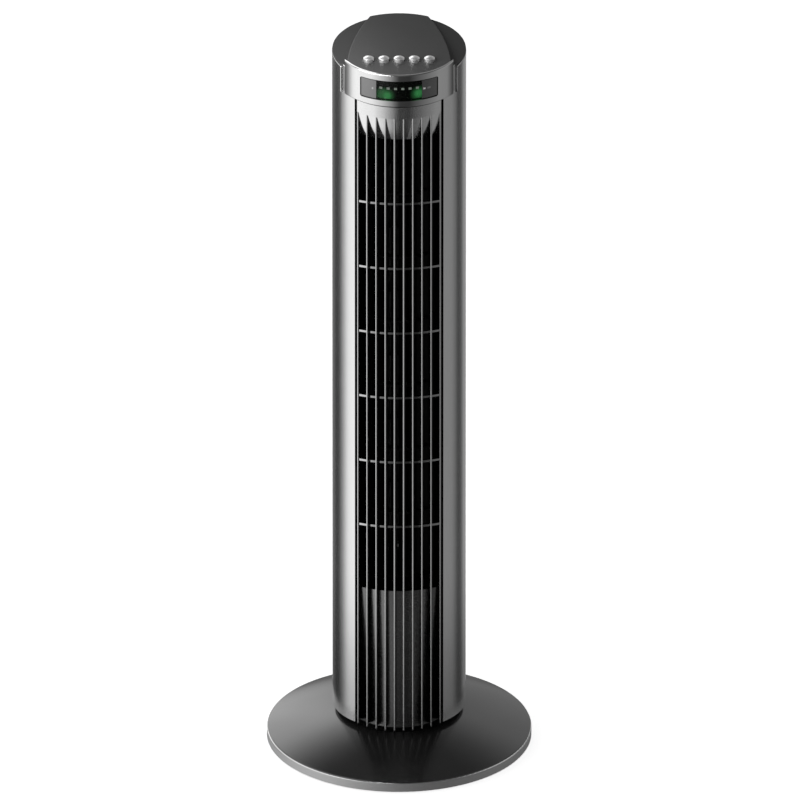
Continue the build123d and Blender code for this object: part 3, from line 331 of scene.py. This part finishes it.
def grained_moulding(name, level, roughness, metal=0.0, edge_highlight=0.0, shine=0.5):
    """Moulded plastic with a fine spark-eroded grain; a painted highlight lightens its outer edges to the
    given level.
    """
    finish = Finish(name, Metallic=metal, Specular_IOR_Level=shine)
    pits = finish.place.grains(GRAIN)
    cloud = finish.place.noise(25 * MM)
    shade = 0.5 * pits + 0.5 * cloud
    colour = shade.between(grey(level * 0.85), grey(level * 1.15))
    if edge_highlight:
        # Painted highlight: convex edges, found by occlusion inside the part, are lightened towards the given
        # level
        edge_highlight_share = 1 - finish.place.node(
            "ShaderNodeAmbientOcclusion", {"inside": True, "only_local": True, "samples": 8},
            {"Distance": EDGE_WIDTH}, "AO")
        edge_highlight_share = edge_highlight_share.rising(0.05, 0.5) * (0.6 + 0.4 * cloud)
        colour = edge_highlight_share.between(colour, grey(edge_highlight))
    finish.feed("Base Color", colour)
    finish.feed("Roughness", roughness + 0.08 * pits + 0.05 * cloud)
    finish.bump(pits, GRAIN_DEPTH, 0.7)
    return finish.material


def polished_dome(name):
    """Dark metallic lacquer of the base, nearly smooth."""
    finish = Finish(name, Metallic=0.9)
    flakes = finish.place.grains(0.4 * MM)
    cloud = finish.place.noise(30 * MM)
    shade = 0.6 * flakes + 0.4 * cloud
    finish.feed("Base Color", shade.between(grey(0.16), grey(0.21)))
    finish.feed("Roughness", 0.14 + 0.05 * cloud)
    finish.bump(finish.place.noise(4 * MM, 1.0), 0.003 * MM, 0.4)
    return finish.material


def machined_metal(name, level, roughness, tint=(1, 1, 1), line=0.12 * MM):
    """Turned or stacked metal with fine level lines."""
    finish = Finish(name, Metallic=1.0)
    lines = finish.place.lines(line)
    dark = tuple(level * 0.85 * share for share in tint)
    light = tuple(level * 1.1 * share for share in tint)
    finish.feed("Base Color", lines.between(dark, light))
    finish.feed("Roughness", roughness + 0.12 * lines)
    finish.bump(lines, 0.01 * MM, 0.6)
    return finish.material


def tinted_moulding(name, dark, light, roughness, size=3 * MM):
    """Plain coloured plastic, lacquer or rubber with a slight mottle."""
    finish = Finish(name)
    cloud = finish.place.noise(size, 4.0)
    finish.feed("Base Color", cloud.between(dark, light))
    finish.feed("Roughness", roughness + 0.12 * cloud)
    finish.bump(cloud, 0.015 * MM, 0.5)
    return finish.material


def wound_copper(name):
    """Lacquered wire wound round the motor's axis."""
    finish = Finish(name, Metallic=0.9, Coat_Weight=0.5)
    strands = finish.place.noise(6 * MM, 2.0, (1, 1, 12))
    finish.feed("Base Color", strands.between((0.30, 0.11, 0.04), (0.60, 0.28, 0.12)))
    finish.feed("Roughness", 0.25 + 0.15 * strands)
    finish.bump(strands, 0.15 * MM, 0.8)
    return finish.material


def smoked_window(name):
    """Display window: clear smoke in the middle, grey print with a dark margin on its back at both ends."""
    half_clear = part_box("display_module")[1].x
    low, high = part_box("display_lens")
    mark_low, mark_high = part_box("indicator_lamps")
    mark_level = (mark_low.z + mark_high.z) / 2
    finish = Finish(name, IOR=1.49, Specular_IOR_Level=0.25)
    cloud = finish.place.noise(0.6 * MM)
    across, height = finish.place.part(0), finish.place.part(2)
    printed = abs(across).rising(half_clear - 0.15 * MM, half_clear + 0.15 * MM)
    inside = (high.x - abs(across)).rising(*PRINT_MARGIN)
    inside = inside * (height - low.z).rising(*PRINT_MARGIN)
    inside = inside * (high.z - height).rising(*PRINT_MARGIN)

    def mark(centre, half_width, level):
        beside = abs(across - centre).rising(half_width - 0.3 * MM, half_width)
        over = abs(height - mark_level).rising(0.8 * MM, 1.1 * MM)
        return level * (1 - beside) * (1 - over)

    marks = mark(half_clear + 2.4 * MM, 1.4 * MM, 1.0)
    marks = marks + mark(half_clear + 7 * MM, 1.8 * MM, 0.3)
    marks = marks + mark(-half_clear - 3.6 * MM, 0.9 * MM, 0.3)
    ends = marks.between(cloud.between(grey(0.16), grey(0.20)), grey(0.75))
    print_share = printed * inside
    finish.feed("Base Color", print_share.between((0.003, 0.004, 0.003), ends))
    finish.feed("Metallic", 0.9 * print_share * (1 - marks))
    finish.feed("Alpha", 0.45 + 0.55 * printed)
    finish.feed("Roughness", 0.05 + 0.27 * printed + 0.03 * cloud)
    return finish.material


def lit_display(name):
    """Black display with a soft green glow round its two lit groups."""
    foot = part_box("display_module")[0].z
    finish = Finish(name, Roughness=0.2, Emission_Strength=1.0)
    across, height = finish.place.part(0), finish.place.part(2)
    grainy = finish.place.noise(1.2 * MM)

    def glow(centre, rise, half_width, half_height, level):
        off = ((across - centre) / half_width) ** 2 + ((height - (foot + rise)) / half_height) ** 2
        return level * (1 - off.rising(0.0, 1.0)) ** 2

    light = sum(glow(*row) for row in GLOWS) * (0.85 + 0.3 * grainy)
    finish.feed("Base Color", grainy.between(grey(0.004), grey(0.007)))
    finish.feed("Emission Color", light.between(grey(0), (0.10, 0.62, 0.18)))
    return finish.material


def lit_mark(name):
    """Pale lit marks above the display."""
    finish = Finish(name, Roughness=0.4, Emission_Strength=1.0)
    cloud = finish.place.noise(0.5 * MM)
    finish.feed("Base Color", cloud.between(grey(0.3), grey(0.45)))
    finish.feed("Emission Color", cloud.between((0.22, 0.27, 0.22), (0.60, 0.70, 0.60)))
    return finish.material


FINISHES = {
    "shell_silver": silver_paint("shell_silver"),
    "grille_silver": grille_paint("grille_silver"),
    "band_silver": plated_band("band_silver"),
    "rim_silver": rim_paint("rim_silver"),
    "button_silver": button_plating("button_silver"),
    "charcoal": grained_moulding("charcoal", level=0.048, roughness=0.33, edge_highlight=0.16, shine=0.15),
    "base_charcoal": polished_dome("base_charcoal"),
    "inner_black": grained_moulding("inner_black", level=0.006, roughness=0.6),
    "wheel_black": grained_moulding("wheel_black", level=0.007, roughness=0.5),
    "lens_smoke": smoked_window("lens_smoke"),
    "display_black": lit_display("display_black"),
    "mask_grey": tinted_moulding("mask_grey", grey(0.13), grey(0.18), roughness=0.5),
    "lamp_green": lit_mark("lamp_green"),
    "board_green": tinted_moulding("board_green", (0.02, 0.09, 0.04), (0.03, 0.14, 0.06), roughness=0.35),
    "switch_black": tinted_moulding("switch_black", grey(0.015), grey(0.025), roughness=0.45),
    "steel": machined_metal("steel", level=0.55, roughness=0.25),
    "screw_steel": machined_metal("screw_steel", level=0.42, roughness=0.32),
    "ballast": grained_moulding("ballast", level=0.03, roughness=0.5, metal=0.2),
    "motor_paint": grained_moulding("motor_paint", level=0.09, roughness=0.45, metal=0.4),
    "lamination": machined_metal("lamination", level=0.28, roughness=0.4, line=0.5 * MM),
    "copper": wound_copper("copper"),
    "bronze": machined_metal("bronze", level=0.5, roughness=0.35, tint=(1.0, 0.68, 0.34)),
    "nylon": tinted_moulding("nylon", (0.66, 0.65, 0.60), (0.74, 0.73, 0.68), roughness=0.4),
    "rubber": tinted_moulding("rubber", grey(0.016), grey(0.026), roughness=0.7, size=1.0 * MM),
    "capacitor_case": tinted_moulding("capacitor_case", grey(0.40), grey(0.48), roughness=0.4),
}

# The head gets a darker copy of the charcoal than the panel on it, as painted shade
SHADED_FINISHES = {
    "head_housing": grained_moulding("head_charcoal_shaded", level=0.032, roughness=0.36, edge_highlight=0.13, shine=0.15),
}


def paint_nodes():
    """Gives every CAD piece the finish of its slot, or a darker copy of it as painted shade where one is
    listed.
    """
    for row in frame["record"]["subparts"]:
        slots = nodes[row["node"]].data.materials
        slots.clear()
        slots.append(SHADED_FINISHES.get(row["node"], FINISHES[row["material_slot"]]))


# Objects

def add_object(name, data):
    """Puts a mesh, a light or a camera into the scene."""
    made = bpy.data.objects.new(name, data)
    bpy.context.scene.collection.objects.link(made)
    return made


def add_mesh(name, shape):
    """Puts a shape in the making into the scene and frees it."""
    mesh = bpy.data.meshes.new(name)
    shape.to_mesh(mesh)
    shape.free()
    return add_object(name, mesh)


# Rear screws

def screw_groups(shape):
    """Corners of each separate screw of a shape, in the order of the shape."""
    groups = []
    seen = set()
    for first in shape.verts:
        if first in seen:
            continue
        seen.add(first)
        group = [first]
        for corner in group:
            for edge in corner.link_edges:
                other = edge.other_vert(corner)
                if other not in seen:
                    seen.add(other)
                    group.append(other)
        groups.append(group)
    return groups


def cross_corners(half_length, half_width):
    """Corners of an upright cross round its middle."""
    quarter = [(half_length, -half_width), (half_length, half_width), (half_width, half_width)]
    corners = []
    for _ in range(4):
        corners.extend(quarter)
        quarter = [(-y, x) for x, y in quarter]
    return corners


def add_plug(shape, top, direction, turn):
    """Adds a cross-shaped plug that narrows from above a screw's head into it."""
    place = Matrix.Translation(top) @ direction.to_track_quat("Z", "Y").to_matrix().to_4x4()
    place = place @ Matrix.Rotation(turn, 4, "Z")
    rings = []
    for height, taper in ((RECESS_DEPTH, 1.0), (-RECESS_DEPTH, RECESS_TAPER)):
        corners = cross_corners(RECESS_REACH * taper, RECESS_WIDTH / 2 * taper)
        rings.append([shape.verts.new(place @ Vector((x, y, height))) for x, y in corners])
    outer, inner = rings
    shape.faces.new(outer)
    shape.faces.new(inner[::-1])
    for i, corner in enumerate(inner):
        shape.faces.new((outer[i - 1], inner[i - 1], corner, outer[i]))


def cut_out(piece, plugs):
    """Takes the plugs out of a piece, and away from the scene."""
    cut = piece.modifiers.new("recesses", "BOOLEAN")
    cut.object = plugs
    cut.operation = "DIFFERENCE"
    cut.solver = "EXACT"
    worked = piece.evaluated_get(bpy.context.evaluated_depsgraph_get())
    mesh = bpy.data.meshes.new_from_object(worked)
    piece.modifiers.clear()
    piece.data = mesh
    bpy.data.objects.remove(plugs)


def rear_screws():
    """The rear casing's screws, each with a cross recess at its own turn."""
    screws, plugs = bmesh.new(), bmesh.new()
    screws.from_mesh(nodes["casing_screws"].data)
    bmesh.ops.remove_doubles(screws, verts=screws.verts[:], dist=WELD)
    for i, group in enumerate(screw_groups(screws)):
        middle = sum((corner.co for corner in group), Vector()) / len(group)
        direction = Vector((middle.x, middle.y, 0)).normalized()
        reach = max(corner.co.dot(direction) for corner in group)
        top = direction * reach + Vector((0, 0, middle.z))
        add_plug(plugs, top, direction, i * SCREW_TURN)
    piece = add_mesh("rear_screws", screws)
    cut_out(piece, add_mesh("recess_plugs", plugs))
    mesh = piece.data
    mesh.shade_smooth()
    mesh.set_sharp_from_angle(angle=SHARP_ANGLE)
    mesh.materials.clear()
    mesh.materials.append(FINISHES["screw_steel"])
    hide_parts("casing_screws")
    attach(piece, "column")


# Studio

def view_direction():
    """The way the camera looks."""
    fall = math.radians(VIEW_ELEVATION)
    return Vector((0, math.cos(fall), -math.sin(fall)))


def rays(tree, *kinds):
    """One field for each kind of ray, which is 1 on rays of that kind."""
    path = tree.nodes.new("ShaderNodeLightPath").outputs
    return [Field(tree, path[f"Is {kind} Ray"]) for kind in kinds]


def light_by_bearing(direction, levels):
    """Level of light from a ramp round the horizon, which holds half levels because it ends at 1."""
    bearing = direction.maths("MULTIPLY", direction, (1, -1, 1))
    turn = bearing.part(0).maths("ARCTAN2", bearing.part(0), bearing.part(1))
    stops = [(angle / 360 + 0.5, level / 2) for angle, level in levels]
    return 2 * turn.node("ShaderNodeValToRGB", {"stops": stops}, {"Fac": turn / (2 * math.pi) + 0.5})


def white_studio():
    """World: white to the camera; what lights and mirrors in the fan is bright behind and at the left."""
    world = bpy.data.worlds.new("studio")
    bpy.context.scene.world = world
    world.use_nodes = True
    tree = world.node_tree
    direction = Field(tree, tree.nodes.new("ShaderNodeTexCoord").outputs["Generated"])
    rise = direction.part(2)
    high = light_by_bearing(direction, HIGH_LIGHT)
    low = light_by_bearing(direction, LOW_LIGHT)
    side = low + rise.rising(*HIGH_RISE) * (high - low)
    level = side + rise.rising(*CEILING_RISE) * (CEILING_LIGHT - side)
    camera, glossy, through = rays(tree, "Camera", "Glossy", "Transmission")
    along = direction.maths("DOT_PRODUCT", direction, view_direction())
    seen = camera + along.rising(*STRAIGHT_ON) * (glossy + through)
    background = tree.nodes["Background"].inputs
    plug(tree, background["Strength"], level + seen * (1 - level))
    plug(tree, background["Color"], (1, 1, 1, 1))


def white_floor():
    """Floor that is white to the camera and keeps the fan's soft shadow; to mirrored rays it is a grey
    filter, a painted shade that darkens what the fan mirrors near its foot.
    """
    shape = bmesh.new()
    bmesh.ops.create_grid(shape, x_segments=FLOOR_CELLS, y_segments=FLOOR_CELLS, size=FLOOR_REACH)
    floor = add_mesh("floor", shape)
    material = bpy.data.materials.new("floor")
    material.use_nodes = True
    tree = material.node_tree
    tree.nodes.remove(tree.nodes["Principled BSDF"])
    camera, glossy = rays(tree, "Camera", "Glossy")
    place = Field(tree, tree.nodes.new("ShaderNodeTexCoord").outputs["Object"])
    paper = place.node("ShaderNodeBsdfDiffuse", (), {"Color": (1, 1, 1, 1)})
    glow = place.node("ShaderNodeEmission", (), {"Strength": FLOOR_GLOW * camera})
    seen = place.node("ShaderNodeAddShader", (), {0: paper, 1: glow})
    dark = place.node("ShaderNodeEmission", (), {"Strength": 0.0})
    clear = place.node("ShaderNodeBsdfTransparent")
    distance = place.maths("LENGTH", place)
    # Painted shade: to mirrored rays the floor lets less through the nearer a place lies to the fan
    lit = SHADE_LEVEL + (1 - SHADE_LEVEL) * distance.rising(*SHADE_REACH)
    mirrored = place.node("ShaderNodeMixShader", (), {0: lit, 1: dark, 2: clear})
    surface = place.node("ShaderNodeMixShader", (), {0: glossy, 1: seen, 2: mirrored})
    plug(tree, tree.nodes["Material Output"].inputs["Surface"], surface)
    floor.data.materials.append(material)


def head_lamp(name, place, width, power):
    """Soft round lamp that shines on the top of the head."""
    data = bpy.data.lights.new(name, "AREA")
    data.shape = "DISK"
    data.size = width
    data.energy = power
    lamp = add_object(name, data)
    lamp.visible_camera = False
    top = Vector((0, 0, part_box("top_panel")[1].z))
    lamp.location = top + Vector(place)
    lamp.rotation_euler = (top - lamp.location).to_track_quat("-Z", "Y").to_euler()


def photo_camera():
    """Distant camera at the photograph's viewing angle, which shows almost no perspective."""
    data = bpy.data.cameras.new("camera")
    data.sensor_width = SENSOR
    data.lens = SENSOR * VIEW_DISTANCE / VIEW_WIDTH
    data.clip_end = 2 * VIEW_DISTANCE
    camera = add_object("camera", data)
    camera.location = Vector(VIEW_TARGET) - view_direction() * VIEW_DISTANCE
    camera.rotation_euler = view_direction().to_track_quat("-Z", "Y").to_euler()
    bpy.context.scene.camera = camera


paint_nodes()
rear_screws()
white_studio()
white_floor()
for lamp in HEAD_LAMPS:
    head_lamp(*lamp)
photo_camera()
bpy.context.scene.view_settings.view_transform = "Standard"
